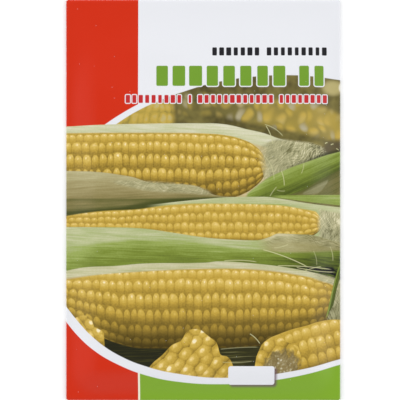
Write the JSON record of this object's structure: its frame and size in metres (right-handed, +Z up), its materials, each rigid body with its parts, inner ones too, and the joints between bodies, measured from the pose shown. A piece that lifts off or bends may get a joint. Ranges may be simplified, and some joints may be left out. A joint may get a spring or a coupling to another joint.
{
  "type": "seed packet",
  "caption": "Flat sealed paper seed packet lying on its back: one folded sheet with a glued centre seam and end flaps, holding loose sweetcorn seed.",
  "frame": {"origin": "middle of the packet's underside, where it rests on its back", "axes": "+X to the right of the printed front, +Y to the packet's top edge, +Z up, out of the front"},
  "size_m": [0.13, 0.19, 0.0052],
  "materials": {
    "printed_paper": "satin",
    "glue": "satin",
    "seed": "satin"
  },
  "bodies": {
    "root": {"envelope_sheet": "printed_paper", "seam_glue": "glue", "bottom_flap_glue": "glue", "top_flap_glue": "glue", "seed_01": "seed", "seed_02": "seed", "seed_03": "seed", "seed_04": "seed", "seed_05": "seed", "seed_06": "seed", "seed_07": "seed", "seed_08": "seed", "seed_09": "seed", "seed_10": "seed", "seed_11": "seed", "seed_12": "seed", "seed_13": "seed", "seed_14": "seed", "seed_15": "seed", "seed_16": "seed", "seed_17": "seed", "seed_18": "seed", "seed_19": "seed", "seed_20": "seed", "seed_21": "seed", "seed_22": "seed", "seed_23": "seed", "seed_24": "seed", "seed_25": "seed", "seed_26": "seed", "seed_27": "seed", "seed_28": "seed", "seed_29": "seed", "seed_30": "seed", "seed_31": "seed", "seed_32": "seed", "seed_33": "seed", "seed_34": "seed", "seed_35": "seed", "seed_36": "seed", "seed_37": "seed", "seed_38": "seed", "seed_39": "seed", "seed_40": "seed", "seed_41": "seed", "seed_42": "seed", "seed_43": "seed", "seed_44": "seed", "seed_45": "seed", "seed_46": "seed", "seed_47": "seed", "seed_48": "seed", "seed_49": "seed", "seed_50": "seed", "seed_51": "seed", "seed_52": "seed", "seed_53": "seed", "seed_54": "seed", "seed_55": "seed", "seed_56": "seed"}
  },
  "joints": []
}
